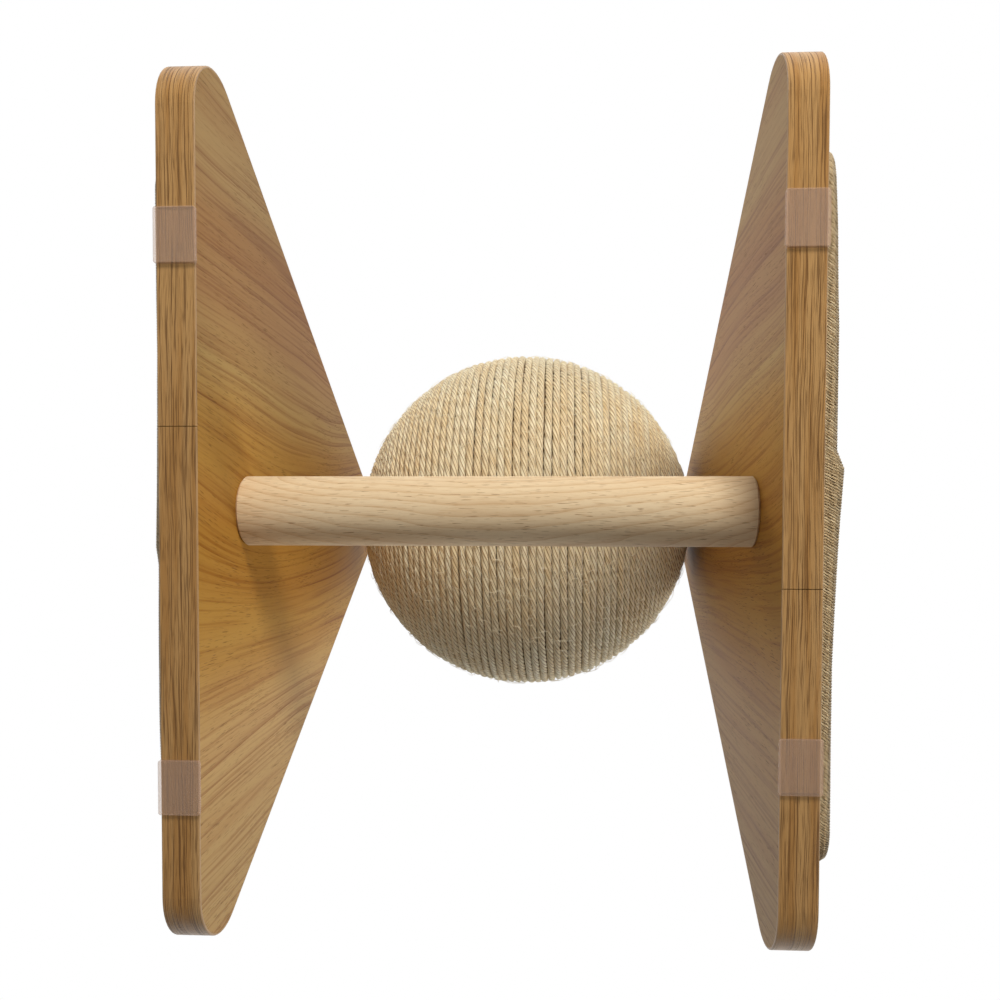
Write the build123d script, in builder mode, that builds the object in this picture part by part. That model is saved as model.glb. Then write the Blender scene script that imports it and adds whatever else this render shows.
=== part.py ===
from build123d import *

import math
import os

# A rope-wound ball that spins on an axle between two triangular boards, joined near the floor by a crossbar.
# X runs from the left board to the right one, Y along the boards' bottom edges and Z up.
# The origin is on the floor, midway between the boards and under their top corners. Sizes are in millimetres.

# Boards
GAP = 218.0
BOARD_SIDE = 376.0
BOARD_HEIGHT = BOARD_SIDE * math.sqrt(3) / 2
BOARD_CORNER = 22.0
BOARD_THICKNESS = 15.0
BAND_THICKNESS = 0.8
BAND_ROUNDING = 0.5
SEAM_OFFSET = 30.0
SEAM_GAP = 0.3

# Non-slip pads under the bottom edges, with the place of each along its board
PAD_SIZE = (16.2, 21.0, 1.5)
PAD_CORNER = 1.0
PAD_ROUNDING = 0.4
PAD_PLACES = {"left": {"front": -101.0, "back": 107.0}, "right": {"front": -104.0, "back": 95.5}}

# Mats on the boards' outer faces, each edged with a ring of binding
MAT_MARGIN = 19.0
MAT_CORNER = 17.0
MAT_THICKNESS = 8.5
BINDING_WIDTH = 6.0
BINDING_THICKNESS = 10.2
BINDING_ROUNDING = 3.0
LAP_CENTRE = 8.0
LAP_LENGTH = 60.0
LAP_RISE = 2.9

# Crossbar and axle, with the inserts and bolts that hold them
CROSSBAR_RADIUS = 15.0
CROSSBAR_HEIGHT = 53.0
CROSSBAR_CHAMFER = 0.8
AXLE_RADIUS = 8.0
AXLE_CHAMFER = 0.5
INSERT_RADIUS = 4.5
INSERT_LENGTH = 13.0
BOLT_RADIUS = 3.0
BOLT_LENGTH = 35.0
BOLT_HEAD_RADIUS = 6.0
BOLT_SOCKET_RADIUS = 2.3
BOLT_SOCKET_DEPTH = 2.5
BOLT_CLEARANCE = 0.3
BOLT_HOLE_DEPTH = 24.0

# Ball: where its centre is, its size over the rope, its core and its bearing
BALL_HEIGHT = 246.0
BALL_OFFSET = 3.7
BALL_RADIUS = 103.5
# The real rope is 4.3 thick and takes some 66 turns. Here 24 turns fill the same ball, each about as
# wide as two or three of those.
ROPE_DIAMETER = 10.3
ROPE_SEAT = 0.2
ROPE_TURNS = 24
ROPE_END_STEP = 3.3
CORE_RADIUS = BALL_RADIUS - ROPE_DIAMETER - ROPE_SEAT
CORE_WALL = 2.0
CORE_LIP = 1.0
CORE_LIP_REACH = 4.0
CORE_LIP_FIT = 0.25
HUB_RADIUS = 15.0
HUB_REACH = 100.5
HUB_INNER_DEPTH = 8.0
RUNNING_FIT = 0.08
SLEEVE_RADIUS = 10.0
TUBE_WALL = 1.5
FLANGE_RADIUS = 14.0
FLANGE_THICKNESS = 1.5
FLANGE_PLAY = 0.1
WASHER_RADIUS = 13.0
WASHER_BORE = 8.3
WASHER_THICKNESS = 1.5

FOOT = PAD_SIZE[2]
BALL_CENTRE = Vector(BALL_OFFSET, 0, FOOT + BALL_HEIGHT)
TUBE_BORE = SLEEVE_RADIUS + RUNNING_FIT
TUBE_RADIUS = TUBE_BORE + TUBE_WALL
SLEEVE_REACH = HUB_REACH + FLANGE_PLAY
SIDES = ("left", "right")
OUTWARD = {"left": -1, "right": 1}
BOLTED_AT = {"crossbar": CROSSBAR_HEIGHT, "axle": BALL_HEIGHT}

# Each board's inner face: local X runs along the bottom edge, local Y up and local Z outwards.
# The two boards are one design, turned half round the upright axis.
FACES = {
    side: Plane(origin=(sign * GAP / 2, 0, FOOT), x_dir=(0, sign, 0), z_dir=(sign, 0, 0))
    for side, sign in OUTWARD.items()
}
# The plane through the ball's axis: local X along the axle and local Y up
BALL_SECTION = Plane(origin=BALL_CENTRE, x_dir=(1, 0, 0), z_dir=(0, -1, 0))
BALL_AXIS = Axis(BALL_CENTRE, (1, 0, 0))

os.makedirs("parts", exist_ok=True)


def save(part, name):
    """Labels a finished piece and writes its file."""
    part.label = name
    export_step(part, f"parts/{name}.step")


def rounded_triangle(margin, corner, mode=Mode.ADD):
    """Adds the board's outline to the open sketch, drawn in by the margin."""
    half = BOARD_SIDE / 2 - margin * math.sqrt(3)
    corners = [(-half, margin), (half, margin), (0, BOARD_HEIGHT - 2 * margin)]
    with BuildSketch(mode=Mode.PRIVATE) as triangle:
        Polygon(*corners, align=None)
        fillet(triangle.vertices(), corner)
    add(triangle.sketch_local, mode=mode)


# Boards: two bolt holes each, countersunk from outside
for side in SIDES:
    face = FACES[side]
    with BuildPart() as board:
        with BuildSketch(face):
            rounded_triangle(BAND_THICKNESS, BOARD_CORNER - BAND_THICKNESS)
        extrude(amount=BOARD_THICKNESS)
        with Locations(face.offset(BOARD_THICKNESS)):
            with Locations(*[(0, height) for height in BOLTED_AT.values()]):
                CounterSinkHole(
                    radius=BOLT_RADIUS + BOLT_CLEARANCE,
                    counter_sink_radius=BOLT_HEAD_RADIUS,
                    counter_sink_angle=90,
                )
    save(board.part, f"{side}_board")

# Edge bands: a strip round each board, rounded outside and open at its butt seam
for side in SIDES:
    with BuildPart() as band:
        with BuildSketch(FACES[side]):
            rounded_triangle(0, BOARD_CORNER)
            rounded_triangle(BAND_THICKNESS, BOARD_CORNER - BAND_THICKNESS, mode=Mode.SUBTRACT)
        extrude(amount=BOARD_THICKNESS)
        rims = band.faces().filter_by(Axis.X)
        outlines = [rim.outer_wire().edges() for rim in rims]
        fillet([edge for outline in outlines for edge in outline], BAND_ROUNDING)
        with BuildSketch(FACES[side]):
            with Locations((SEAM_OFFSET, 0)):
                Rectangle(SEAM_GAP, 4 * BAND_THICKNESS)
        extrude(amount=BOARD_THICKNESS, mode=Mode.SUBTRACT)
    save(band.part, f"{side}_edge_band")

# Mats: a woven plate inside the ring of its binding
for side in SIDES:
    with BuildPart() as mat:
        with BuildSketch(FACES[side].offset(BOARD_THICKNESS)):
            rounded_triangle(MAT_MARGIN + BINDING_WIDTH, MAT_CORNER - BINDING_WIDTH)
        extrude(amount=MAT_THICKNESS)
    save(mat.part, f"{side}_mat")

# Mat bindings: a rounded ring that swells where its two ends overlap
for side in SIDES:
    outer_face = FACES[side].offset(BOARD_THICKNESS)
    lap_start = LAP_CENTRE - LAP_LENGTH / 2
    lap_end = LAP_CENTRE + LAP_LENGTH / 2
    lap_plane = Plane(
        origin=outer_face.from_local_coords((0, MAT_MARGIN, 0)),
        x_dir=outer_face.x_dir,
        z_dir=-outer_face.y_dir,
    )
    with BuildPart() as binding:
        with BuildSketch(outer_face):
            rounded_triangle(MAT_MARGIN, MAT_CORNER)
            rounded_triangle(MAT_MARGIN + BINDING_WIDTH, MAT_CORNER - BINDING_WIDTH, mode=Mode.SUBTRACT)
        extrude(amount=BINDING_THICKNESS)
        crown = binding.faces().sort_by(Axis(outer_face.origin, outer_face.z_dir))[-1]
        fillet(crown.outer_wire().edges(), BINDING_ROUNDING)
        with BuildSketch(lap_plane):
            with BuildLine():
                Polyline(
                    (lap_end, BINDING_THICKNESS),
                    (lap_end, BINDING_THICKNESS / 2),
                    (lap_start, BINDING_THICKNESS / 2),
                    (lap_start, BINDING_THICKNESS),
                )
                ThreePointArc(
                    (lap_start, BINDING_THICKNESS),
                    (LAP_CENTRE, BINDING_THICKNESS + LAP_RISE),
                    (lap_end, BINDING_THICKNESS),
                )
            make_face()
        extrude(amount=-(BINDING_WIDTH - BINDING_ROUNDING / 2))
    save(binding.part, f"{side}_mat_binding")

# Pads under the bottom edges
for side in SIDES:
    for end, place in PAD_PLACES[side].items():
        middle = OUTWARD[side] * (GAP + BOARD_THICKNESS) / 2
        with BuildPart() as pad:
            with BuildSketch(Plane(origin=(middle, place, 0))):
                RectangleRounded(PAD_SIZE[0], PAD_SIZE[1], PAD_CORNER)
            extrude(amount=PAD_SIZE[2])
            fillet(pad.faces().sort_by(Axis.Z)[0].edges(), PAD_ROUNDING)
        save(pad.part, f"foot_pad_{side}_{end}")


def make_bar(radius, height, chamfer_length):
    """A round bar from board to board, bored at both ends for an insert and the bolt's tip."""
    with BuildPart() as bar:
        with BuildSketch(Plane.YZ.offset(-GAP / 2)):
            with Locations((0, FOOT + height)):
                Circle(radius)
        extrude(amount=GAP)
        chamfer(bar.edges(), chamfer_length)
        for end_face in bar.faces().filter_by(Axis.X):
            with Locations(Plane(end_face)):
                CounterBoreHole(
                    radius=BOLT_RADIUS + BOLT_CLEARANCE,
                    counter_bore_radius=INSERT_RADIUS,
                    counter_bore_depth=INSERT_LENGTH,
                    depth=BOLT_HOLE_DEPTH,
                )
    return bar.part


# Crossbar and axle
save(make_bar(CROSSBAR_RADIUS, CROSSBAR_HEIGHT, CROSSBAR_CHAMFER), "crossbar")
save(make_bar(AXLE_RADIUS, BALL_HEIGHT, AXLE_CHAMFER), "axle")

# Inserts: a threaded sleeve in each end of the crossbar and of the axle
for bar_name, height in BOLTED_AT.items():
    with BuildPart() as inserts:
        for side in SIDES:
            with BuildSketch(FACES[side]):
                with Locations((0, height)):
                    Circle(INSERT_RADIUS)
                    Circle(BOLT_RADIUS, mode=Mode.SUBTRACT)
            extrude(amount=-INSERT_LENGTH)
    save(inserts.part, f"{bar_name}_inserts")

# Bolts: flat-headed, flush with the boards' outer faces, with a hexagon socket
for bar_name, height in BOLTED_AT.items():
    with BuildPart() as bolts:
        for side in SIDES:
            head_plane = FACES[side].offset(BOARD_THICKNESS)
            section = Plane(
                origin=head_plane.from_local_coords((0, height, 0)),
                x_dir=head_plane.y_dir,
                z_dir=head_plane.x_dir,
            )
            with BuildSketch(section):
                Polygon(
                    (0, 0),
                    (BOLT_HEAD_RADIUS, 0),
                    (BOLT_RADIUS, BOLT_RADIUS - BOLT_HEAD_RADIUS),
                    (BOLT_RADIUS, -BOLT_LENGTH),
                    (0, -BOLT_LENGTH),
                    align=None,
                )
            revolve(axis=Axis(section.origin, section.y_dir))
            with BuildSketch(head_plane):
                with Locations((0, height)):
                    RegularPolygon(BOLT_SOCKET_RADIUS, 6)
            extrude(amount=-BOLT_SOCKET_DEPTH, mode=Mode.SUBTRACT)
    save(bolts.part, f"{bar_name}_bolts")

# Washers on the axle, against the boards
for side in SIDES:
    with BuildPart() as washer:
        with BuildSketch(FACES[side]):
            with Locations((0, BALL_HEIGHT)):
                Circle(WASHER_RADIUS)
                Circle(WASHER_BORE, mode=Mode.SUBTRACT)
        extrude(amount=-WASHER_THICKNESS)
    save(washer.part, f"{side}_washer")

# Bearing sleeve: a tube on the axle with a flange outside the ball's left hub
with BuildPart() as sleeve:
    with BuildSketch(BALL_SECTION):
        with BuildLine():
            Polyline(
                (-SLEEVE_REACH - FLANGE_THICKNESS, AXLE_RADIUS + RUNNING_FIT),
                (-SLEEVE_REACH - FLANGE_THICKNESS, FLANGE_RADIUS),
                (-SLEEVE_REACH, FLANGE_RADIUS),
                (-SLEEVE_REACH, SLEEVE_RADIUS),
                (SLEEVE_REACH + FLANGE_THICKNESS, SLEEVE_RADIUS),
                (SLEEVE_REACH + FLANGE_THICKNESS, AXLE_RADIUS + RUNNING_FIT),
                close=True,
            )
        make_face()
    revolve(axis=BALL_AXIS)
save(sleeve.part, "bearing_sleeve")

# Collar: the sleeve's other flange, clipped on after the ball
with BuildPart() as collar:
    with BuildSketch(Plane.YZ.offset(BALL_OFFSET + SLEEVE_REACH)):
        with Locations((0, FOOT + BALL_HEIGHT)):
            Circle(FLANGE_RADIUS)
            Circle(SLEEVE_RADIUS, mode=Mode.SUBTRACT)
    extrude(amount=FLANGE_THICKNESS)
save(collar.part, "sleeve_collar")

# Core tube: the ball's bore, from hub to hub
with BuildPart() as core_tube:
    with BuildSketch(Plane.YZ.offset(BALL_OFFSET - HUB_REACH)):
        with Locations((0, FOOT + BALL_HEIGHT)):
            Circle(TUBE_RADIUS)
            Circle(TUBE_BORE, mode=Mode.SUBTRACT)
    extrude(amount=2 * HUB_REACH)
save(core_tube.part, "core_tube")


def on_sphere(radius, from_axis):
    """How far along the axis a sphere of that radius is, at that distance from the axis."""
    return math.sqrt(radius**2 - from_axis**2)


# Ball core: two half shells with a hub at each pole, the left one with a lip inside the joint
core_inside = CORE_RADIUS - CORE_WALL
hub_start = on_sphere(core_inside, HUB_RADIUS) - HUB_INNER_DEPTH
for side, sign in OUTWARD.items():
    with BuildPart() as half_shell:
        with BuildSketch(BALL_SECTION):
            with BuildLine():
                outer_end = (sign * on_sphere(CORE_RADIUS, HUB_RADIUS), HUB_RADIUS)
                inner_end = (sign * on_sphere(core_inside, HUB_RADIUS), HUB_RADIUS)
                outer_middle = (sign * CORE_RADIUS / math.sqrt(2), CORE_RADIUS / math.sqrt(2))
                inner_middle = (sign * core_inside / math.sqrt(2), core_inside / math.sqrt(2))
                ThreePointArc((0, CORE_RADIUS), outer_middle, outer_end)
                Polyline(
                    outer_end,
                    (sign * HUB_REACH, HUB_RADIUS),
                    (sign * HUB_REACH, TUBE_RADIUS),
                    (sign * hub_start, TUBE_RADIUS),
                    (sign * hub_start, HUB_RADIUS),
                    inner_end,
                )
                ThreePointArc(inner_end, inner_middle, (0, core_inside))
                Line((0, core_inside), (0, CORE_RADIUS))
            make_face()
        revolve(axis=BALL_AXIS)
        if side == "left":
            with BuildSketch(Plane.YZ.offset(BALL_OFFSET - CORE_LIP_REACH)):
                with Locations((0, FOOT + BALL_HEIGHT)):
                    Circle(core_inside - CORE_LIP_FIT)
                    Circle(core_inside - CORE_LIP_FIT - CORE_LIP, mode=Mode.SUBTRACT)
            extrude(amount=2 * CORE_LIP_REACH)
            with BuildSketch(Plane.YZ.offset(BALL_OFFSET - CORE_LIP_REACH)):
                with Locations((0, FOOT + BALL_HEIGHT)):
                    Circle(core_inside + CORE_WALL / 2)
                    Circle(core_inside - CORE_LIP_FIT - CORE_LIP, mode=Mode.SUBTRACT)
            extrude(amount=CORE_LIP_REACH)
    save(half_shell.part, f"ball_core_{side}")


def eased(turn):
    """Grows smoothly from 0 to 1 over the first turn, with its rate in radians."""
    angle = math.pi * min(turn, 1)
    return (1 - math.cos(angle)) / 2, math.pi * math.sin(angle) / 2


def rope_point(turn):
    """A point of the rope's middle line after that many turns from the left pole, and its direction.
    The first and the last turn step out further, so that the rope's straight ends find room."""
    centre_radius = CORE_RADIUS + ROPE_SEAT + ROPE_DIAMETER / 2
    start = math.asin((HUB_RADIUS + ROPE_SEAT + ROPE_DIAMETER / 2) / centre_radius)
    end_step = ROPE_END_STEP / centre_radius
    steady_slope = (math.pi - 2 * start - 2 * end_step) / ROPE_TURNS
    begun, begin_rate = eased(turn)
    left, left_rate = eased(ROPE_TURNS - turn)
    slope = steady_slope + end_step * (begin_rate + left_rate)
    from_pole = start + steady_slope * turn + end_step * (begun + 1 - left)
    around = 2 * math.pi * turn
    radial = Vector(0, math.cos(around), math.sin(around))
    along = Vector(0, -math.sin(around), math.cos(around))
    point = BALL_CENTRE + Vector(-centre_radius * math.cos(from_pole), 0, 0)
    point += radial * centre_radius * math.sin(from_pole)
    direction = along * (2 * math.pi * math.sin(from_pole))
    direction += (Vector(math.sin(from_pole), 0, 0) + radial * math.cos(from_pole)) * slope
    return point, direction.normalized()


def biarc(start, start_direction, end, end_direction):
    """Two arcs that leave the start and reach the end in the given directions, and meet in line."""
    reach = end - start
    turned = 2 * (1 - start_direction.dot(end_direction))
    straight = reach.dot(start_direction + end_direction)
    handle = (math.sqrt(straight**2 + turned * reach.dot(reach)) - straight) / turned
    joint = (start + start_direction * handle + end - end_direction * handle) * 0.5
    first = TangentArc(start, joint, tangent=start_direction)
    second = TangentArc(end, joint, tangent=-end_direction)
    return first, second


# Rope: turns of one spiral from pole to pole, evenly spaced over the core
with BuildPart() as rope:
    quarter_turns = [rope_point(quarter / 4) for quarter in range(4 * ROPE_TURNS + 1)]
    first_point, first_direction = quarter_turns[0]
    last_point, last_direction = quarter_turns[-1]
    with BuildLine() as route:
        Line(first_point - first_direction * ROPE_DIAMETER, first_point)
        for near, far in zip(quarter_turns, quarter_turns[1:]):
            biarc(*near, *far)
        Line(last_point, last_point + last_direction * ROPE_DIAMETER)
    with BuildSketch(Plane(origin=route.wire() @ 0, z_dir=first_direction)):
        Circle(ROPE_DIAMETER / 2)
    sweep(path=route.wire())
save(rope.part, "sisal_rope")

# What the rope's form has to keep: its tube's volume, and its least gap to itself
SAMPLES = 96
steps = range(SAMPLES * ROPE_TURNS + 1)
centre_line = [first_point - first_direction * ROPE_DIAMETER * part for part in (1, 0.75, 0.5, 0.25)]
centre_line += [rope_point(step / SAMPLES)[0] for step in steps]
centre_line += [last_point + last_direction * ROPE_DIAMETER * part for part in (0.25, 0.5, 0.75, 1)]
places = [tuple(point) for point in centre_line]
least_gap = min(
    math.dist(places[here], places[there]) - ROPE_DIAMETER
    for here in range(len(places))
    for there in range(here + SAMPLES // 2, min(here + 2 * SAMPLES, len(places)))
)
tube_volume = math.pi * (ROPE_DIAMETER / 2) ** 2 * route.wire().length
print("rope length", round(route.wire().length, 1), "least gap to itself", round(least_gap, 2))
print("rope volume over section times length", round(rope.part.volume / tube_volume, 4))
print("board height", round(BOARD_HEIGHT, 1), "top of ball", round(BALL_CENTRE.Z + BALL_RADIUS, 1))
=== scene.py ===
"""The looks of a rope-wound scratching ball between two boards, in metres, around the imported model."""

import logging
import math
from collections.abc import Sequence
from dataclasses import dataclass
from enum import Enum

import bpy
import numpy as np
from mathutils import Matrix, Vector


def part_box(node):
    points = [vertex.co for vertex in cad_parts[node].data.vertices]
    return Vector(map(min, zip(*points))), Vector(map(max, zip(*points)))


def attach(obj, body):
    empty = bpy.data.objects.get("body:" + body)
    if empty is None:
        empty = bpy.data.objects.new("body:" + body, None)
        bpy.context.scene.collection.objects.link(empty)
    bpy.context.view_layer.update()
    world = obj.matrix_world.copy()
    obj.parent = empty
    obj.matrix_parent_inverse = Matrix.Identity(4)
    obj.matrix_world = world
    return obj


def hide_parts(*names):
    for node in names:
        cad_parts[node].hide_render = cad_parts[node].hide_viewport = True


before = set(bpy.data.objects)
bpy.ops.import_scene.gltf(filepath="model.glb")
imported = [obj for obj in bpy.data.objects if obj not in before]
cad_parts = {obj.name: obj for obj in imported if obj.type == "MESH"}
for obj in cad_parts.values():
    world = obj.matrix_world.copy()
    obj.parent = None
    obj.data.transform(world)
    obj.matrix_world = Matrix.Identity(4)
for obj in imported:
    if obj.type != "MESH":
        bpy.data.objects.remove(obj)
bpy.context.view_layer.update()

LOG = logging.getLogger("scratching_ball")
WELD = 1e-6
FLAT_ANGLE = math.radians(50)

Socket = bpy.types.NodeSocket
Value = float | Socket
Colour = tuple[float, float, float]
Points = np.ndarray
Material = bpy.types.Material
Piece = bpy.types.Object


def srgb(red: float, green: float, blue: float) -> Colour:
    """The linear colour of a screen colour given from 0 to 255."""
    return tuple(
        (c / 255 / 12.92) if c <= 10 else ((c / 255 + 0.055) / 1.055) ** 2.4 for c in (red, green, blue)
    )


class Side(Enum):
    """The two boards, with the way that each faces outwards."""

    LEFT = -1
    RIGHT = 1

    @property
    def label(self) -> str:
        """The word that the side's nodes start with."""
        return self.name.lower()


class Graph:
    """The nodes of one material or world, added and wired by short calls."""

    def __init__(self, name: str, kind: str = "materials") -> None:
        """Starts an empty material or world.

        Args:
            name: its name.
            kind: "materials" or "worlds".
        """
        self.owner = getattr(bpy.data, kind).new(name)
        self.owner.use_nodes = True
        self.tree = self.owner.node_tree
        self.tree.nodes.clear()

    def node(self, kind: str, *values: object, **settings: object) -> bpy.types.Node:
        """Adds a node.

        Args:
            kind: the node's type.
            values: what its first sockets are fed, in their order.
            settings: its settings by name.

        Returns:
            The new node.
        """
        made = self.tree.nodes.new(kind)
        for name, setting in settings.items():
            setattr(made, name, setting)
        for socket, value in zip(made.inputs, values):
            self.feed(socket, value)
        return made

    def feed(self, socket: Socket, value: object) -> None:
        """Links a socket to another, or sets the value that it holds.

        Args:
            socket: the socket that is fed.
            value: another socket, a number or a colour.
        """
        if isinstance(value, bpy.types.NodeSocket):
            self.tree.links.new(value, socket)
        elif socket.type == "RGBA" and len(value) == 3:
            socket.default_value = (*value, 1)
        else:
            socket.default_value = value

    def place(self) -> tuple[Socket, Socket, Socket]:
        """The piece's own x, y and z, in metres."""
        return self.parts(self.node("ShaderNodeTexCoord").outputs["Object"])

    def lay(self) -> tuple[Socket, Socket]:
        """How far along its sweep a point is, in metres, and how far round it, from 0 to 1."""
        along, around, _ = self.parts(self.node("ShaderNodeUVMap", uv_map="UVMap").outputs["UV"])
        return along, around

    def parts(self, vector: Socket) -> tuple[Socket, Socket, Socket]:
        """The three parts of a vector."""
        return tuple(self.node("ShaderNodeSeparateXYZ", vector).outputs)

    def vector(self, *parts: Value) -> Socket:
        """A vector of up to three parts."""
        return self.node("ShaderNodeCombineXYZ", *parts).outputs[0]

    def math(self, operation: str, *values: Value) -> Socket:
        """The result of one of the Math node's operations on one to three numbers."""
        return self.node("ShaderNodeMath", *values, operation=operation).outputs[0]

    def scaled(self, value: Value, factor: Value, added: Value = 0.0) -> Socket:
        """The value times the factor, plus what is added."""
        return self.math("MULTIPLY_ADD", value, factor, added)

    def squared(self, value: Value) -> Socket:
        """The value times itself."""
        return self.math("MULTIPLY", value, value)

    def step(self, value: Value, low: float, high: float, least: float = 0.0, most: float = 1.0) -> Socket:
        """Goes smoothly from least to most as the value goes from low to high."""
        limits = (low, high, least, most)
        return self.node("ShaderNodeMapRange", value, *limits, interpolation_type="SMOOTHSTEP").outputs[0]

    def grain(self, *parts: Value | tuple[Value, float], detail: float = 2.0) -> Socket:
        """Smooth noise, as fine along each place as asked.

        Args:
            parts: up to three places, each with its number of bumps per metre, or plain numbers.
            detail: how many finer layers are added.

        Returns:
            The noise, from 0 to 1.
        """
        made = self.node("ShaderNodeTexNoise")
        spread = (self.scaled(*part) if isinstance(part, tuple) else part for part in parts)
        self.feed(made.inputs["Vector"], self.vector(*spread))
        for name, value in (("Scale", 1.0), ("Detail", detail), ("Roughness", 0.5)):
            self.feed(made.inputs[name], value)
        return made.outputs["Fac"]

    def random(self, value: Socket) -> Socket:
        """Draws a fixed random number for each whole part of a value.

        Args:
            value: the value.

        Returns:
            The number, from 0 to 1.
        """
        made = self.node("ShaderNodeTexWhiteNoise", noise_dimensions="1D")
        self.feed(made.inputs["W"], self.math("FLOOR", value))
        return made.outputs["Value"]

    def mix(self, share: Value, first: object, second: object, blend: str = "MIX") -> Socket:
        """Mixes two colours.

        Args:
            share: the second colour's share.
            first: the first colour.
            second: the second colour.
            blend: how they are mixed.

        Returns:
            The mixed colour.
        """
        made = self.node("ShaderNodeMix", data_type="RGBA", blend_type=blend)
        for index, value in ((0, share), (6, first), (7, second)):
            self.feed(made.inputs[index], value)
        return made.outputs[2]

    def shade(self, colour: object, amount: Value, tint: Colour) -> Socket:
        """The colour multiplied by a tint, by that amount."""
        return self.mix(amount, colour, tint, blend="MULTIPLY")

    def ramp(self, value: Socket, *stops: tuple[float, Colour]) -> Socket:
        """Reads a colour from evenly blended stops.

        Args:
            value: the place on the ramp, from 0 to 1.
            stops: places with their colours.

        Returns:
            The colour.
        """
        made = self.node("ShaderNodeValToRGB", value)
        marks = made.color_ramp.elements
        while len(marks) < len(stops):
            marks.new(0.5)
        for mark, (position, colour) in zip(marks, stops):
            mark.position = position
            mark.color = (*colour, 1)
        return made.outputs[0]

    def bump(self, height: Socket, depth: float, normal: Socket | None = None) -> Socket:
        """Turns a height into a relief.

        Args:
            height: the height, from 0 to 1.
            depth: how deep that is, in metres.
            normal: a relief that lies under this one.

        Returns:
            The relief's normal.
        """
        made = self.node("ShaderNodeBump")
        self.feed(made.inputs["Distance"], depth)
        self.feed(made.inputs["Height"], height)
        if normal is not None:
            self.feed(made.inputs["Normal"], normal)
        return made.outputs[0]

    def finish(self, colour: object, roughness: Value, normal: Socket, **more: object) -> Material:
        """Closes the material with one shader.

        Args:
            colour: the base colour.
            roughness: the roughness.
            normal: the relief.
            more: other sockets by name, with an underscore for each space.

        Returns:
            The finished material.
        """
        shader = self.node("ShaderNodeBsdfPrincipled")
        more = {"Base_Color": colour, "Roughness": roughness, "Normal": normal, **more}
        for name, value in more.items():
            self.feed(shader.inputs[name.replace("_", " ")], value)
        self.node("ShaderNodeOutputMaterial", shader.outputs[0])
        return self.owner


@dataclass(frozen=True)
class PrintedBoard:
    """Satin foil with an upright wood print, as on the boards' faces."""

    name: str
    seed: float
    line_strength: float
    tan: Colour = srgb(184, 149, 92)
    rosy: Colour = srgb(178, 134, 76)
    olive: Colour = srgb(192, 158, 92)
    golden: Colour = srgb(192, 148, 70)
    honey: Colour = srgb(180, 130, 54)
    pale: Colour = srgb(198, 160, 100)
    vein: Colour = srgb(188, 144, 84)
    pore: Colour = srgb(110, 74, 36)
    mottle: Colour = srgb(222, 190, 152)
    streak: Colour = srgb(200, 164, 122)
    half_width: float = 0.172
    print_shift: float = 0.015
    heart: float = -0.01
    arch_height: float = 0.13
    line_spacing: float = 0.0095
    pore_depth: float = 0.00003
    roughness: float = 0.46
    gloss: float = 0.12

    def material(self) -> Material:
        """Makes broad bands of wood, growth lines that fade to one side, and fine pores, all upright.

        Returns:
            The material.
        """
        g = Graph(self.name)
        _, y, z = g.place()
        sway = g.grain(self.seed, (y, 7.0), (z, 3.5))
        from_heart = g.math("ABSOLUTE", g.math("SUBTRACT", y, self.heart))
        rise = g.squared(g.math("SUBTRACT", z, self.arch_height))
        arch = g.math("MULTIPLY", rise, g.step(from_heart, 0.0, 0.09, 1.0, 0.0))
        across = g.scaled(arch, 0.9, g.scaled(sway, 0.03, y))
        colour = g.ramp(
            g.scaled(across, 0.5 / self.half_width, 0.5 - self.print_shift / self.half_width * 0.5),
            (0.03, self.tan),
            (0.12, self.tan),
            (0.17, self.rosy),
            (0.27, self.rosy),
            (0.35, self.olive),
            (0.42, self.golden),
            (0.56, self.honey),
            (0.68, self.golden),
            (0.78, self.pale),
            (0.95, self.tan),
        )
        mottle = g.grain(2.0, (across, 60.0), (z, 3.0), detail=3.0)
        colour = g.shade(colour, g.step(mottle, 0.4, 0.75, 0.0, 0.5), self.mottle)
        spread = g.grain(self.seed + 9.0, (across, 26.0), (z, 1.5), detail=1.0)
        lines = g.math("FRACT", g.scaled(across, 1 / self.line_spacing, g.scaled(spread, 4.2)))
        strength = g.grain(self.seed + 4.0, (across, 45.0), (z, 5.0), detail=1.0)
        line = g.math("MULTIPLY", g.math("POWER", lines, 6.0), g.step(strength, 0.38, 0.58))
        colour = g.shade(colour, g.scaled(line, self.line_strength), self.vein)
        streaks = g.grain(8.0, (across, 620.0), (z, 10.0))
        colour = g.shade(colour, g.step(streaks, 0.46, 0.7, 0.0, 0.55), self.streak)
        pores = g.grain((across, 2400.0), 3.3, (z, 130.0), detail=1.0)
        patches = g.grain(1.0, (across, 30.0), (z, 12.0), detail=1.0)
        pores = g.math("MULTIPLY", g.step(pores, 0.6, 0.72), g.step(patches, 0.38, 0.6, 0.25, 1.0))
        colour = g.mix(g.scaled(pores, 0.62), colour, self.pore)
        normal = g.bump(g.scaled(pores, -1.0, 1.0), self.pore_depth)
        return g.finish(colour, g.scaled(pores, 0.1, self.roughness), normal, Specular_IOR_Level=self.gloss)


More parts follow.
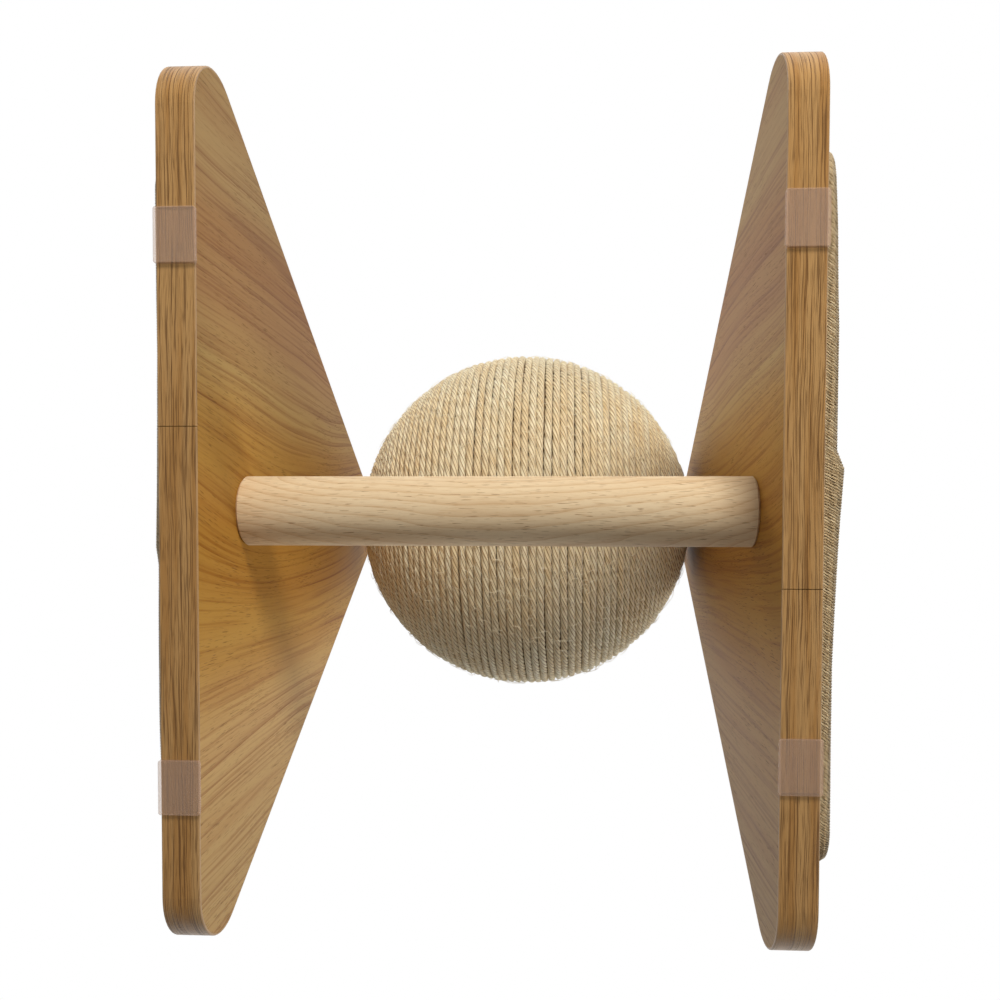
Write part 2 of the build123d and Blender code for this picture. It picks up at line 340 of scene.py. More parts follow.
@dataclass(frozen=True)
class GrainedStrip:
    """The boards' plastic edge strip, whose grain follows the outline."""

    name: str
    inradius: float
    corner: float
    centre_height: float
    middle: float
    half_width: float
    body: Colour = srgb(184, 144, 92)
    warm: Colour = srgb(170, 126, 72)
    streak: Colour = srgb(86, 56, 28)
    rim: Colour = srgb(190, 156, 116)
    rim_width: float = 0.0006
    rim_edge: float = 0.0002
    grain_depth: float = 0.00004
    roughness: float = 0.36

    def material(self) -> Material:
        """Makes long streaks along the strip, paler at its two cut rims.

        Returns:
            The material.
        """
        g = Graph(self.name)
        x, y, z = g.place()
        along = self.along(g, y, g.math("SUBTRACT", z, self.centre_height))
        sway = g.grain((along, 16.0), (x, 60.0), 2.0)
        across = g.scaled(sway, 0.004, x)
        broad = g.grain((along, 8.0), (across, 300.0), 0.4)
        colour = g.mix(g.step(broad, 0.36, 0.64), self.body, self.warm)
        streaks = g.grain((along, 20.0), (across, 2000.0), 7.0, detail=3.0)
        dark = g.step(streaks, 0.53, 0.61)
        colour = g.mix(g.scaled(dark, 0.7), colour, self.streak)
        fine = g.grain((along, 90.0), (across, 4200.0), 3.0)
        colour = g.mix(g.step(fine, 0.52, 0.66, 0.0, 0.6), colour, self.streak)
        from_middle = g.math("ABSOLUTE", g.math("SUBTRACT", x, self.middle))
        rim = g.step(from_middle, self.half_width - self.rim_width, self.half_width - self.rim_edge)
        colour = g.mix(g.scaled(rim, 0.6), colour, self.rim)
        normal = g.bump(g.scaled(dark, -1.0, 1.0), self.grain_depth)
        return g.finish(colour, g.scaled(dark, 0.1, self.roughness), normal)

    def along(self, g: Graph, y: Socket, height: Socket) -> Socket:
        """Finds how far round the triangle a point is, from the side that it is nearest to.

        Args:
            g: the material's nodes.
            y: the point's place across the board.
            height: its height above the triangle's centre.

        Returns:
            The distance, in metres.
        """
        side_run = 2 * (2 * self.inradius - self.corner) * math.sin(math.radians(60))
        reach, along = None, None
        for side in range(3):
            turn = math.radians(120 * side - 90)
            out = g.scaled(y, math.cos(turn), g.scaled(height, math.sin(turn)))
            run = g.scaled(y, -math.sin(turn), g.scaled(height, math.cos(turn), side * side_run))
            if side == 0:
                reach, along = out, run
                continue
            nearer = g.math("GREATER_THAN", out, reach)
            along = g.math("ADD", g.math("MULTIPLY", nearer, g.math("SUBTRACT", run, along)), along)
            reach = g.math("MAXIMUM", out, reach)
        return along


@dataclass(frozen=True)
class BarePine:
    """Sanded pine, turned round, with its rings cut lengthwise."""

    name: str
    axis_height: float
    early: Colour = srgb(226, 204, 168)
    late: Colour = srgb(196, 160, 116)
    fleck: Colour = srgb(142, 108, 74)
    ruddy: Colour = srgb(226, 202, 172)
    line: Colour = srgb(214, 190, 160)
    pith_side: float = 0.016
    pith_rise: float = 0.004
    sag: float = 1.2
    lean: float = -0.03
    ring_spacing: float = 0.0036
    grain_depth: float = 0.00005
    roughness: float = 0.62

    def material(self) -> Material:
        """Makes rings about a pith that runs bowed beside the bar, and short dark flecks.

        Returns:
            The material.
        """
        g = Graph(self.name)
        x, y, z = g.place()
        wander = g.grain((x, 16.0), (y, 45.0), (z, 45.0))
        from_pith = (
            g.scaled(g.squared(x), self.sag, g.math("ADD", y, self.pith_side)),
            g.scaled(x, self.lean, g.math("SUBTRACT", z, self.axis_height - self.pith_rise)),
        )
        reach = g.math("SQRT", g.math("ADD", *(g.squared(distance) for distance in from_pith)))
        rings = g.math("FRACT", g.scaled(g.scaled(wander, 0.008, reach), 1 / self.ring_spacing))
        colour = g.mix(g.scaled(g.math("POWER", rings, 4.0), 0.6), self.early, self.late)
        tone = g.grain((x, 12.0), (y, 90.0), (z, 90.0), detail=3.0)
        colour = g.shade(colour, g.step(tone, 0.4, 0.75, 0.0, 0.4), self.ruddy)
        fine = g.grain((x, 150.0), (y, 2200.0), (z, 2200.0))
        colour = g.shade(colour, g.step(fine, 0.5, 0.75, 0.0, 0.4), self.line)
        flecks = g.grain((x, 190.0), (y, 2500.0), (z, 2500.0), detail=0.0)
        colour = g.mix(g.step(flecks, 0.7, 0.78, 0.0, 0.7), colour, self.fleck)
        return g.finish(colour, self.roughness, g.bump(fine, self.grain_depth))


@dataclass(frozen=True)
class ClearSilicone:
    """Hazy clear silicone, a little warm, as on the pads."""

    name: str = "clear_silicone"
    body: Colour = srgb(214, 182, 158)
    dust: Colour = srgb(220, 205, 196)
    dust_grain: float = 900.0
    dust_depth: float = 0.000005
    roughness: float = 0.3
    opacity: float = 0.34
    refraction: float = 1.41

    def material(self) -> Material:
        """Makes a half clear body with a soft sheen and faint dust.

        Returns:
            The material.
        """
        g = Graph(self.name)
        dust = g.grain(*((part, self.dust_grain) for part in g.place()), detail=3.0)
        colour = g.shade(self.body, g.step(dust, 0.4, 0.7, 0.0, 0.1), self.dust)
        normal = g.bump(dust, self.dust_depth)
        roughness = g.scaled(dust, 0.2, self.roughness)
        return g.finish(colour, roughness, normal, Alpha=self.opacity, IOR=self.refraction)


@dataclass(frozen=True)
class SisalYarn:
    """Twisted sisal with fine fibres that follow its lay, read from the sweep's own map."""

    name: str
    strands: int = 6
    light: Colour = srgb(255, 248, 218)
    tan: Colour = srgb(250, 232, 190)
    # The colour of the painted shade in the grooves between the strands.
    painted_gap_shade: Colour = srgb(150, 112, 66)
    fibre: Colour = srgb(204, 176, 134)
    fibre_depth: float = 0.0004
    roughness: float = 0.85

    def material(self) -> Material:
        """Makes fibres as fine streaks along the strands, with painted shade in the grooves between them.

        Returns:
            The material.
        """
        g = Graph(self.name)
        along, around = g.lay()
        circle = (g.math(wave, g.scaled(around, 2 * math.pi)) for wave in ("COSINE", "SINE"))
        fibres = g.grain(*((part, 7.0) for part in circle), (along, 130.0), detail=4.0)
        patches = g.grain((along, 16.0), 4.2, detail=3.0)
        colour = g.mix(g.step(patches, 0.3, 0.7), self.light, self.tan)
        colour = g.shade(colour, g.step(fibres, 0.44, 0.66, 0.0, 0.75), self.fibre)
        # Painted shade: darkens the grooves between the strands, where shade falls.
        lobe = g.math("ABSOLUTE", g.math("COSINE", g.scaled(around, math.pi * self.strands)))
        colour = g.mix(g.step(lobe, 0.0, 0.58, 1.0, 0.0), colour, self.painted_gap_shade)
        normal = g.bump(fibres, self.fibre_depth)
        return g.finish(colour, self.roughness, normal, Sheen_Weight=0.25, Sheen_Roughness=0.5)


@dataclass(frozen=True)
class WovenSisal:
    """The mats' woven face, in beads of flat yarn."""

    row: float
    bead: float
    lean: float
    name: str = "woven_sisal"
    light: Colour = srgb(232, 218, 184)
    tan: Colour = srgb(208, 190, 148)
    # The colour of the painted shade in the gaps between the rows and the beads.
    painted_gap_shade: Colour = srgb(132, 110, 72)
    fibre: Colour = srgb(200, 176, 132)
    fibre_depth: float = 0.0003
    bead_depth: float = 0.0009
    roughness: float = 0.9

    def material(self) -> Material:
        """Gives each bead its own tone, with fine fibres across it and painted shade in the gaps round it.

        Returns:
            The material.
        """
        g = Graph(self.name)
        _, y, z = g.place()
        rows = g.math("DIVIDE", z, self.row)
        row_number = g.math("FLOOR", rows)
        beads = g.math("ADD", g.math("DIVIDE", y, self.bead), g.scaled(row_number, 0.5))
        tone = g.random(g.scaled(row_number, 97.0, g.math("FLOOR", beads)))
        colour = g.mix(g.scaled(tone, 0.7), self.light, self.tan)
        fibres = g.grain((y, 500.0), (z, 2600.0), tone, detail=3.0)
        colour = g.shade(colour, g.step(fibres, 0.4, 0.7, 0.0, 0.7), self.fibre)
        in_row = g.math("PINGPONG", rows, 0.5)
        in_bead = g.math("PINGPONG", g.scaled(g.math("FRACT", rows), 2 * self.lean, beads), 0.5)
        # Painted shade in the gaps between the rows and between the beads.
        colour = g.mix(g.step(in_row, 0.0, 0.14, 0.6, 0.0), colour, self.painted_gap_shade)
        colour = g.mix(g.step(in_bead, 0.0, 0.09, 0.5, 0.0), colour, self.painted_gap_shade)
        bead = g.math("MULTIPLY", g.step(in_row, 0.0, 0.3), g.step(in_bead, 0.0, 0.22, 0.35, 1.0))
        normal = g.bump(fibres, self.fibre_depth, g.bump(bead, self.bead_depth))
        return g.finish(colour, self.roughness, normal, Sheen_Weight=0.1)


@dataclass(frozen=True)
class PlainFinish:
    """A fine-grained even finish for moulded and turned parts."""

    name: str
    body: Colour
    worn: Colour
    roughness: float = 0.45
    metallic: float = 0.0
    mottle_grain: float = 800.0
    mottle_depth: float = 0.00002

    def material(self) -> Material:
        """Makes the body colour with a faint mottle and a fine relief.

        Returns:
            The material.
        """
        g = Graph(self.name)
        mottle = g.grain(*((part, self.mottle_grain) for part in g.place()), detail=3.0)
        colour = g.mix(g.step(mottle, 0.35, 0.7), self.body, self.worn)
        roughness = g.scaled(mottle, 0.15, self.roughness)
        return g.finish(colour, roughness, g.bump(mottle, self.mottle_depth), Metallic=self.metallic)


def dress(piece: Piece, material: Material) -> None:
    """Gives a piece one material all over."""
    piece.data.materials.clear()
    piece.data.materials.append(material)


def dress_with(name: str, finish: Material) -> None:
    """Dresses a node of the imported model."""
    dress(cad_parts[name], finish)


@dataclass
class Run:
    """One line of a sweep, with its turn and its size at each point."""

    points: Points
    tilt: Points | None = None
    size: Points | None = None
    closed: bool = False


def drawn_curve(name: str, runs: Sequence[Run]) -> Piece:
    """A curve object of straight-run splines.

    Args:
        name: the object's name.
        runs: its lines, in metres.

    Returns:
        The new curve object.
    """
    curve = bpy.data.curves.new(name, "CURVE")
    curve.dimensions = "3D"
    for run in runs:
        count = len(run.points)
        spline = curve.splines.new("POLY")
        spline.points.add(count - 1)
        spline.points.foreach_set("co", np.column_stack([run.points, np.ones(count)]).ravel())
        if run.tilt is not None:
            spline.points.foreach_set("tilt", run.tilt)
        if run.size is not None:
            spline.points.foreach_set("radius", run.size)
        spline.use_cyclic_u = run.closed
        spline.use_smooth = True
    piece = bpy.data.objects.new(name, curve)
    bpy.context.scene.collection.objects.link(piece)
    return piece


def circle(sides: int, radius: float) -> Points:
    """The points of a round outline with that many sides."""
    angle = np.linspace(0, 2 * math.pi, sides, endpoint=False)
    return np.column_stack([np.cos(angle), np.sin(angle)]) * radius


def swept(name: str, runs: Sequence[Run], profile: Points) -> Piece:
    """Sweeps a closed outline along the runs and closes the ends.

    Args:
        name: the piece's name.
        runs: the lines to sweep along.
        profile: the outline's points, in metres, where a run's size is 1.

    Returns:
        The mesh piece, with a map of its length by its outline.
    """
    outline = drawn_curve(name + "_outline", [Run(np.column_stack([profile, np.zeros(len(profile))]))])
    outline.data.dimensions = "2D"
    outline.data.splines[0].use_cyclic_u = True
    piece = drawn_curve(name, runs)
    piece.data.bevel_mode = "OBJECT"
    piece.data.bevel_object = outline
    piece.data.use_fill_caps = True
    bpy.ops.object.select_all(action="DESELECT")
    piece.select_set(True)
    bpy.context.view_layer.objects.active = piece
    bpy.ops.object.convert(target="MESH")
    bpy.ops.object.mode_set(mode="EDIT")
    bpy.ops.mesh.select_all(action="SELECT")
    bpy.ops.mesh.remove_doubles(threshold=WELD)
    bpy.ops.mesh.normals_make_consistent(inside=False)
    bpy.ops.object.mode_set(mode="OBJECT")
    bpy.ops.object.shade_smooth()
    bpy.data.objects.remove(outline)
    return piece


def stretch_map(piece: Piece, length: float, start: float = 0.0) -> None:
    """Puts a sweep's map into metres along it.

    Args:
        piece: the sweep.
        length: how long it is.
        start: what its map starts at.
    """
    layer = piece.data.uv_layers["UVMap"].data
    places = np.empty(len(layer) * 2, np.float32)
    layer.foreach_get("uv", places)
    places[0::2] = places[0::2] * length + start
    layer.foreach_set("uv", places)


def smooth_noise(seed: int, length: float, spacing: float, at: Points) -> Points:
    """A seeded line of smooth noise from -1 to 1.

    Args:
        seed: which line.
        length: how far it runs.
        spacing: the distance between its bends.
        at: where to read it, from 0 to the length.

    Returns:
        The noise at those places.
    """
    count = int(length / spacing) + 4
    knots = np.random.default_rng(seed).uniform(-1, 1, count)
    place = np.asarray(at) / spacing
    first = np.floor(place).astype(int).clip(0, count - 2)
    share = place - first
    share = share * share * (3 - 2 * share)
    return knots[first] * (1 - share) + knots[first + 1] * share


@dataclass
class RoundedTriangle:
    """An equilateral outline with rounded corners, standing on one side."""

    inradius: float
    corner: float
    centre_height: float

    def support(self, turn: float) -> float:
        """How far the outline reaches from its centre in the direction of that angle."""
        tips = (math.radians(90 + 120 * k) for k in range(3))
        return self.corner + 2 * (self.inradius - self.corner) * max(math.cos(turn - tip) for tip in tips)

    def walk(self, count: int) -> tuple[Points, Points, float]:
        """Goes once round the outline in even steps, from the middle of the bottom side.

        Args:
            count: the number of steps.

        Returns:
            The points and outward normals, as y and z, and the outline's length.
        """
        side = math.sqrt(3) * 2 * (self.inradius - self.corner)
        arc = math.radians(120) * self.corner
        length = 3 * (side + arc)
        along = (np.arange(count) * length / count + side / 2) % length
        leg, rest = np.divmod(along, side + arc)
        straight = np.minimum(rest, side) - side / 2
        turned = np.maximum(rest - side, 0) / self.corner
        heading = np.radians(120) * leg
        normal_turn = heading + turned - math.pi / 2
        base = heading - math.pi / 2
        flat = self.inradius - self.corner
        centre = np.stack(
            [
                flat * np.cos(base) - straight * np.sin(base),
                flat * np.sin(base) + straight * np.cos(base),
            ],
            -1,
        )
        normals = np.stack([np.cos(normal_turn), np.sin(normal_turn)], -1)
        points = centre + normals * self.corner
        points[:, 1] += self.centre_height
        return points, normals, length


@dataclass
class Boards:
    """The two boards, their edge strips, crossbar, axle and fastenings."""

    corner: float = 0.022

    def __post_init__(self) -> None:
        """Reads the boards' outline and width from the frame."""
        low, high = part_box("right_edge_band")
        inradius = (high.z - low.z + self.corner) / 3
        self.outline = RoundedTriangle(inradius, self.corner, low.z + inradius)
        self.width = high.x - low.x
        self.outer = {Side.LEFT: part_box("left_board")[0].x, Side.RIGHT: high.x}

    def build(self) -> None:
        """Dresses the nodes, which keep their shapes."""
        prints = {
            Side.LEFT: PrintedBoard("printed_board_left", seed=0.37, line_strength=0.8),
            Side.RIGHT: PrintedBoard("printed_board_right", seed=1.62, line_strength=0.45),
        }
        for side, printed in prints.items():
            dress_with(f"{side.label}_board", printed.material())
            dress_with(f"{side.label}_edge_band", self.strip(side).material())
            LOG.info("dressed the %s board and its edge strip", side.label)
        for bar in ("crossbar", "axle"):
            low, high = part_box(bar)
            pine = BarePine(name=f"bare_pine_{bar}", axis_height=(low.z + high.z) / 2)
            dress_with(bar, pine.material())
            LOG.info("dressed the %s", bar)
        self.fittings()

    def strip(self, side: Side) -> GrainedStrip:
        """The edge strip's finish, fitted to its board."""
        return GrainedStrip(
            name=f"grained_strip_{side.label}",
            inradius=self.outline.inradius,
            corner=self.corner,
            centre_height=self.outline.centre_height,
            middle=self.outer[side] - side.value * self.width / 2,
            half_width=self.width / 2,
        )

    def fittings(self) -> None:
        """Dresses the pads, fastenings, bearing and core, by a word in their nodes' names."""
        brass = PlainFinish("turned_brass", srgb(196, 160, 92), srgb(170, 134, 70), 0.3, 1.0)
        zinc = PlainFinish("zinc_plate", srgb(186, 186, 190), srgb(150, 150, 156), 0.32, 1.0)
        nylon = PlainFinish("moulded_nylon", srgb(232, 230, 220), srgb(218, 214, 202), 0.4)
        shell = PlainFinish("moulded_shell", srgb(150, 128, 98), srgb(128, 106, 78), 0.6)
        finishes = {
            ClearSilicone(): ("foot_pad",),
            brass: ("inserts",),
            zinc: ("bolts",),
            nylon: ("washer", "sleeve"),
            shell: ("ball_core", "core_tube"),
        }
        for finish, words in finishes.items():
            material = finish.material()
            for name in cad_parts:
                if any(word in name for word in words):
                    dress_with(name, material)
                    LOG.info("dressed %s", name)


@dataclass
class Mats:
    """The scratching mats with their overlocked edges."""

    boards: Boards
    margin: float = 0.019
    corner: float = 0.017
    binding_width: float = 0.006
    grid: float = 0.0009
    overhang: float = 0.003
    outline_cuts: int = 24
    row: float = 0.0034
    bead: float = 0.0046
    bead_lean: float = 0.12
    bead_end: float = 0.45
    bead_spread: float = 0.3
    relief: float = 0.0012
    face_drop: float = 0.0015
    tuck: float = 0.0015
    seat: float = 0.98
    yarn: float = 0.0014
    yarn_sides: int = 6
    yarn_twist: float = 0.9
    stitch: float = 0.0011
    stitch_points: int = 12
    slant: float = 0.005
    squareness: float = 0.65
    waver: float = 0.0002
    waver_spacing: float = 0.03
    outline_points: int = 20000
    lap_start: float = -0.0225
    lap_step: float = 0.007
    lap_length: float = 0.06
    lap_rise: float = 0.0029
    lap_fade: float = 1.3
    left_lap: float = 0.35
    swell: tuple[tuple[float, float], ...] = (
        (-0.16, -0.0017),
        (-0.13, -0.0016),
        (-0.11, -0.0007),
        (-0.07, 0.0007),
        (0.035, 0.0005),
        (0.06, -0.0003),
        (0.15, -0.0004),
    )

    def build(self) -> None:
        """Makes both mats and their bindings."""
        weave = WovenSisal(self.row, self.bead, self.bead_lean).material()
        yarn = SisalYarn(
            name="binding_yarn",
            strands=2,
            light=srgb(234, 213, 172),
            tan=srgb(214, 190, 146),
            # The painted shade in the grooves between the binding yarn's strands.
            painted_gap_shade=srgb(158, 130, 90),
        ).material()
        for side in Side:
            self.face(side, weave)
            LOG.info("made the %s mat's woven face", side.label)
            self.binding(side, yarn)
            LOG.info("made the %s mat's binding", side.label)

    def inset(self, more: float) -> RoundedTriangle:
        """The mat's outline, drawn in further by that much."""
        board = self.boards.outline
        return RoundedTriangle(board.inradius - self.margin - more, self.corner - more, board.centre_height)

    def face(self, side: Side, weave: Material) -> None:
        """Makes a woven plate inside the binding.

        Args:
            side: the board that it lies on.
            weave: its finish.
        """
        low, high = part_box(f"{side.label}_mat")
        face_x = (high.x if side is Side.RIGHT else low.x) - side.value * self.face_drop
        back_x = self.boards.outer[side]
        outline = self.inset(self.binding_width - self.tuck)
        width, height = high.y - low.y + self.overhang, high.z - low.z + self.overhang
        bpy.ops.object.select_all(action="DESELECT")
        bpy.ops.mesh.primitive_grid_add(
            x_subdivisions=int(height / self.grid),
            y_subdivisions=int(width / self.grid),
            size=1,
            location=(face_x, (low.y + high.y) / 2, (low.z + high.z) / 2),
            rotation=(0, side.value * math.pi / 2, 0),
        )
        mat = bpy.context.object
        mat.name = f"woven_mat_{side.label}"
        mat.scale = (height, width, 1)
        bpy.ops.object.transform_apply(location=True, rotation=True, scale=True)
        bpy.ops.object.mode_set(mode="EDIT")
        for cut in range(self.outline_cuts):
            turn = math.radians(360 / self.outline_cuts * cut)
            bpy.ops.mesh.select_all(action="SELECT")
            reach = outline.support(turn)
            normal = (0, math.cos(turn), math.sin(turn))
            bpy.ops.mesh.bisect(
                plane_co=(0, reach * normal[1], outline.centre_height + reach * normal[2]),
                plane_no=normal,
                clear_outer=True,
            )
        bpy.ops.object.mode_set(mode="OBJECT")
        self.raise_weave(mat, side)
        bpy.ops.object.mode_set(mode="EDIT")
        bpy.ops.mesh.select_all(action="SELECT")
        bpy.ops.mesh.region_to_loop()
        depth = back_x - face_x
        bpy.ops.mesh.extrude_edges_move(TRANSFORM_OT_translate={"value": (depth * self.seat, 0, 0)})
        bpy.ops.mesh.edge_face_add()
        bpy.ops.mesh.select_all(action="SELECT")
        bpy.ops.mesh.normals_make_consistent(inside=False)
        bpy.ops.object.mode_set(mode="OBJECT")
        bpy.ops.object.shade_smooth_by_angle(angle=FLAT_ANGLE)
        dress(mat, weave)
        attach(mat, "frame")
        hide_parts(f"{side.label}_mat")

    def raise_weave(self, mat: Piece, side: Side) -> None:
        """Lifts the beads of the weave out of the flat face, each by a fixed random share.

        Args:
            mat: the flat face.
            side: the board that it lies on.
        """
        places = np.empty(len(mat.data.vertices) * 3)
        mat.data.vertices.foreach_get("co", places)
        places = places.reshape(-1, 3)
        rows = places[:, 2] / self.row
        beads = places[:, 1] / self.bead + np.floor(rows) * 0.5
        in_row = 2 * (rows - np.floor(rows)) - 1
        in_bead = 2 * (beads - np.floor(beads) + self.bead_lean * in_row) - 1
        row_arch, bead_arch = (np.sqrt(np.clip(1 - place**2, 0, 1)) for place in (in_row, in_bead))
        height = row_arch * (self.bead_end + (1 - self.bead_end) * bead_arch)
        # The broken part of a large sine is as good as a drawn number, and each bead keeps its own.
        chance = np.sin(np.floor(rows) * 12.9898 + np.floor(beads) * 78.233) * 43758.5453
        height *= 1 + self.bead_spread * (chance - np.floor(chance) - 0.5)
        places[:, 0] += side.value * self.relief * height
        mat.data.vertices.foreach_set("co", places.ravel())

    def thickness(self, along: Points, length: float, side: Side) -> Points:
        """How thick the binding is, with the lap of its two ends.

        Args:
            along: places along the outline, from the middle of the bottom side.
            length: the outline's length.
            side: the board that the mat lies on.

        Returns:
            The thickness at each place.
        """
        low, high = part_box(f"{side.label}_mat_binding")
        plain = high.x - low.x - self.lap_rise
        centred = (along + length / 2) % length - length / 2
        place = centred - self.lap_start
        rise = np.clip(place / self.lap_step, 0, 1)
        fall = np.clip(1 - (place - self.lap_step) / (self.lap_length - self.lap_step), 0, 1)
        bulge = self.lap_rise * rise * fall**self.lap_fade
        places, extras = zip(*self.swell)
        swell = np.interp(centred, places, extras, left=0.0, right=0.0)
        if side is Side.LEFT:
            bulge, swell = bulge * self.left_lap, np.minimum(swell, 0.0) * 0.5
        waver = self.waver * smooth_noise(31 + side.value, length, self.waver_spacing, along)
        return plain - self.yarn + bulge + swell + waver

    def binding(self, side: Side, yarn: Material) -> None:
        """Winds one yarn round the mat's edge, slanting on the rim.

        Args:
            side: the board that the mat lies on.
            yarn: its finish.
        """
        outline = self.inset(0.0)
        _, _, length = outline.walk(8)
        turns = int(length / self.stitch)
        count = turns * self.stitch_points
        phase = np.arange(count) / self.stitch_points % 1
        step = length / count
        base = np.arange(count) * step
        lean = self.slant * np.interp(phase, (0, 0.15, 0.5, 0.85, 1), (0.5, 1, 1, 0, 0.5))
        points, normals, _ = outline.walk(self.outline_points)
        index = ((base + lean) / length * self.outline_points).astype(int) % self.outline_points
        along = (base + lean) % length
        thick = self.thickness(along, length, side)
        width = self.binding_width - self.yarn
        turn = 2 * math.pi * (phase + 0.25)
        square = np.maximum(np.abs(np.cos(turn)), np.abs(np.sin(turn))) ** self.squareness
        out_x = np.clip(-np.cos(turn) / square, -1, 1)
        inward = np.clip(-np.sin(turn) / square, -1, 1)
        depth = (1 + out_x) / 2 * thick + self.yarn / 2
        draw = (1 + inward) / 2 * width + self.yarn / 2
        path = np.empty((count, 3))
        path[:, 0] = self.boards.outer[side] + side.value * depth
        path[:, 1:] = points[index] - normals[index] * draw[:, None]
        path[:, 1] *= side.value
        run = Run(path, tilt=np.arange(count) * self.yarn_twist, closed=True)
        coil = swept(f"mat_binding_{side.label}", [run], circle(self.yarn_sides, self.yarn / 2))
        stretch_map(coil, float(np.linalg.norm(np.diff(path, axis=0), axis=1).sum()))
        dress(coil, yarn)
        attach(coil, "frame")
        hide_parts(f"{side.label}_mat_binding")


@dataclass
class RopeBall:
    """The rope wound round the ball from pole to pole, with its loose fibres."""

    turns: int = 66
    diameter: float = 0.0043
    hub: float = 0.0152
    bed_hole: float = 0.0166
    shell_radius: float = 0.0932
    lay: float = 0.027
    step: float = 0.0013
    pieces: int = 4
    strand_rise: tuple[float, ...] = (1.0, 0.66, 1.0, 0.88)
    turn_points: int = 240
    turn_unevenness: float = 0.05
    waver: float = 0.0003
    lift: float = 0.00025
    sink: float = 0.0001
    bed_rise: float = 0.44
    bed_segments: int = 96
    bed_rings: int = 64
    fibres: int = 2600
    fibre_radius: float = 0.0002
    fibre_points: int = 7
    fibre_taper: float = 0.35
    fibre_length: tuple[float, float] = (0.003, 0.01)
    fibre_lift: tuple[float, float] = (0.02, 0.4)
    fibre_curl: float = 1.8
    fibre_root: float = 0.42

    def __post_init__(self) -> None:
        """Reads the ball's place and size from the frame."""
        low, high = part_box("core_tube")
        self.centre = np.array((low + high) / 2)
        low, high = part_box("sisal_rope")
        self.radius = (high.z - low.z) / 2 - self.diameter / 2

    def build(self) -> None:
        """Winds the rope and scatters its fibres."""
        path, tilt, size = self.route()
        yarn = SisalYarn("laid_sisal").material()
        cuts = np.linspace(0, len(path) - 1, self.pieces + 1).astype(int)
        for number, (first, last) in enumerate(zip(cuts, cuts[1:]), 1):
            part = slice(first, last + 1)
            rope = swept(f"rope_turns_{number}", [Run(path[part], tilt[part], size[part])], self.section())
            stretch_map(rope, (last - first) * self.step, first * self.step)
            dress(rope, yarn)
            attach(rope, "ball")
            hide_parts("sisal_rope")
        LOG.info("wound %d turns, %.1f m of rope", self.turns, len(path) * self.step)
        self.bed()
        LOG.info("made the bed under the rope")
        self.loose_fibres(path)
        LOG.info("scattered the loose fibres")

    def section(self) -> Points:
        """The rope's outline: three strands, pressed together."""
        reach = np.array(self.strand_rise * 3) * self.diameter / 2
        return circle(len(reach), 1.0) * reach[:, None]

    def route(self) -> tuple[Points, Points, Points]:
        """Lays the rope's middle line from pole to pole in even steps.

        Returns:
            Its points, twist and size.
        """
        start = math.asin((self.hub + self.diameter / 2) / self.radius)
        turn = np.linspace(0, self.turns, self.turns * self.turn_points + 1)
        widths = 1 + self.turn_unevenness * np.random.default_rng(5).uniform(-1, 1, self.turns)
        edges = np.concatenate([[0], np.cumsum(widths)]) / widths.sum()
        from_pole = start + (math.pi - 2 * start) * np.interp(turn, np.arange(self.turns + 1), edges)
        around = 2 * math.pi * turn
        length_before = np.cumsum(2 * math.pi * self.radius * np.sin(from_pole)) * (turn[1] - turn[0])
        total = float(length_before[-1])
        even = np.arange(0, total, self.step)
        around = np.interp(even, length_before, around)
        from_pole = np.interp(even, length_before, from_pole)
        from_pole += self.waver / self.radius * smooth_noise(11, total, 0.045, even)
        reach = self.radius - self.sink + self.lift * smooth_noise(12, total, 0.035, even)
        path = np.column_stack(
            [
                -reach * np.cos(from_pole),
                reach * np.sin(from_pole) * np.cos(around),
                reach * np.sin(from_pole) * np.sin(around),
            ]
        )
        tilt = -2 * math.pi / self.lay * (even + 0.003 * smooth_noise(13, total, 0.05, even))
        size = 1.03 + 0.05 * smooth_noise(14, total, 0.02, even)
        return path + self.centre, tilt, size

    def bed(self) -> None:
        """The glued padding between the shell and the rope, open at both hubs."""
        outer = self.radius - self.diameter * self.bed_rise
        bpy.ops.object.select_all(action="DESELECT")
        bpy.ops.mesh.primitive_uv_sphere_add(
            segments=self.bed_segments,
            ring_count=self.bed_rings,
            radius=outer,
            location=self.centre,
            rotation=(0, math.pi / 2, 0),
        )
        bed = bpy.context.object
        bed.name = "winding_bed"
        bpy.ops.object.transform_apply(location=True, rotation=True, scale=True)
        bpy.ops.object.mode_set(mode="EDIT")
        reach = math.sqrt(outer**2 - self.bed_hole**2)
        for side in Side:
            bpy.ops.mesh.select_all(action="SELECT")
            bpy.ops.mesh.bisect(
                plane_co=(self.centre[0] + side.value * reach, 0, 0),
                plane_no=(side.value, 0, 0),
                clear_outer=True,
            )
        bpy.ops.object.mode_set(mode="OBJECT")
        solid = bed.modifiers.new("thickness", "SOLIDIFY")
        solid.thickness = outer - self.shell_radius
        solid.offset = -1.0
        bpy.ops.object.modifier_apply(modifier=solid.name)
        bpy.ops.object.shade_smooth_by_angle(angle=FLAT_ANGLE)
        dress(bed, PlainFinish("glued_padding", srgb(150, 118, 78), srgb(122, 92, 58), 0.75).material())
        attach(bed, "ball")
        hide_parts("sisal_rope")

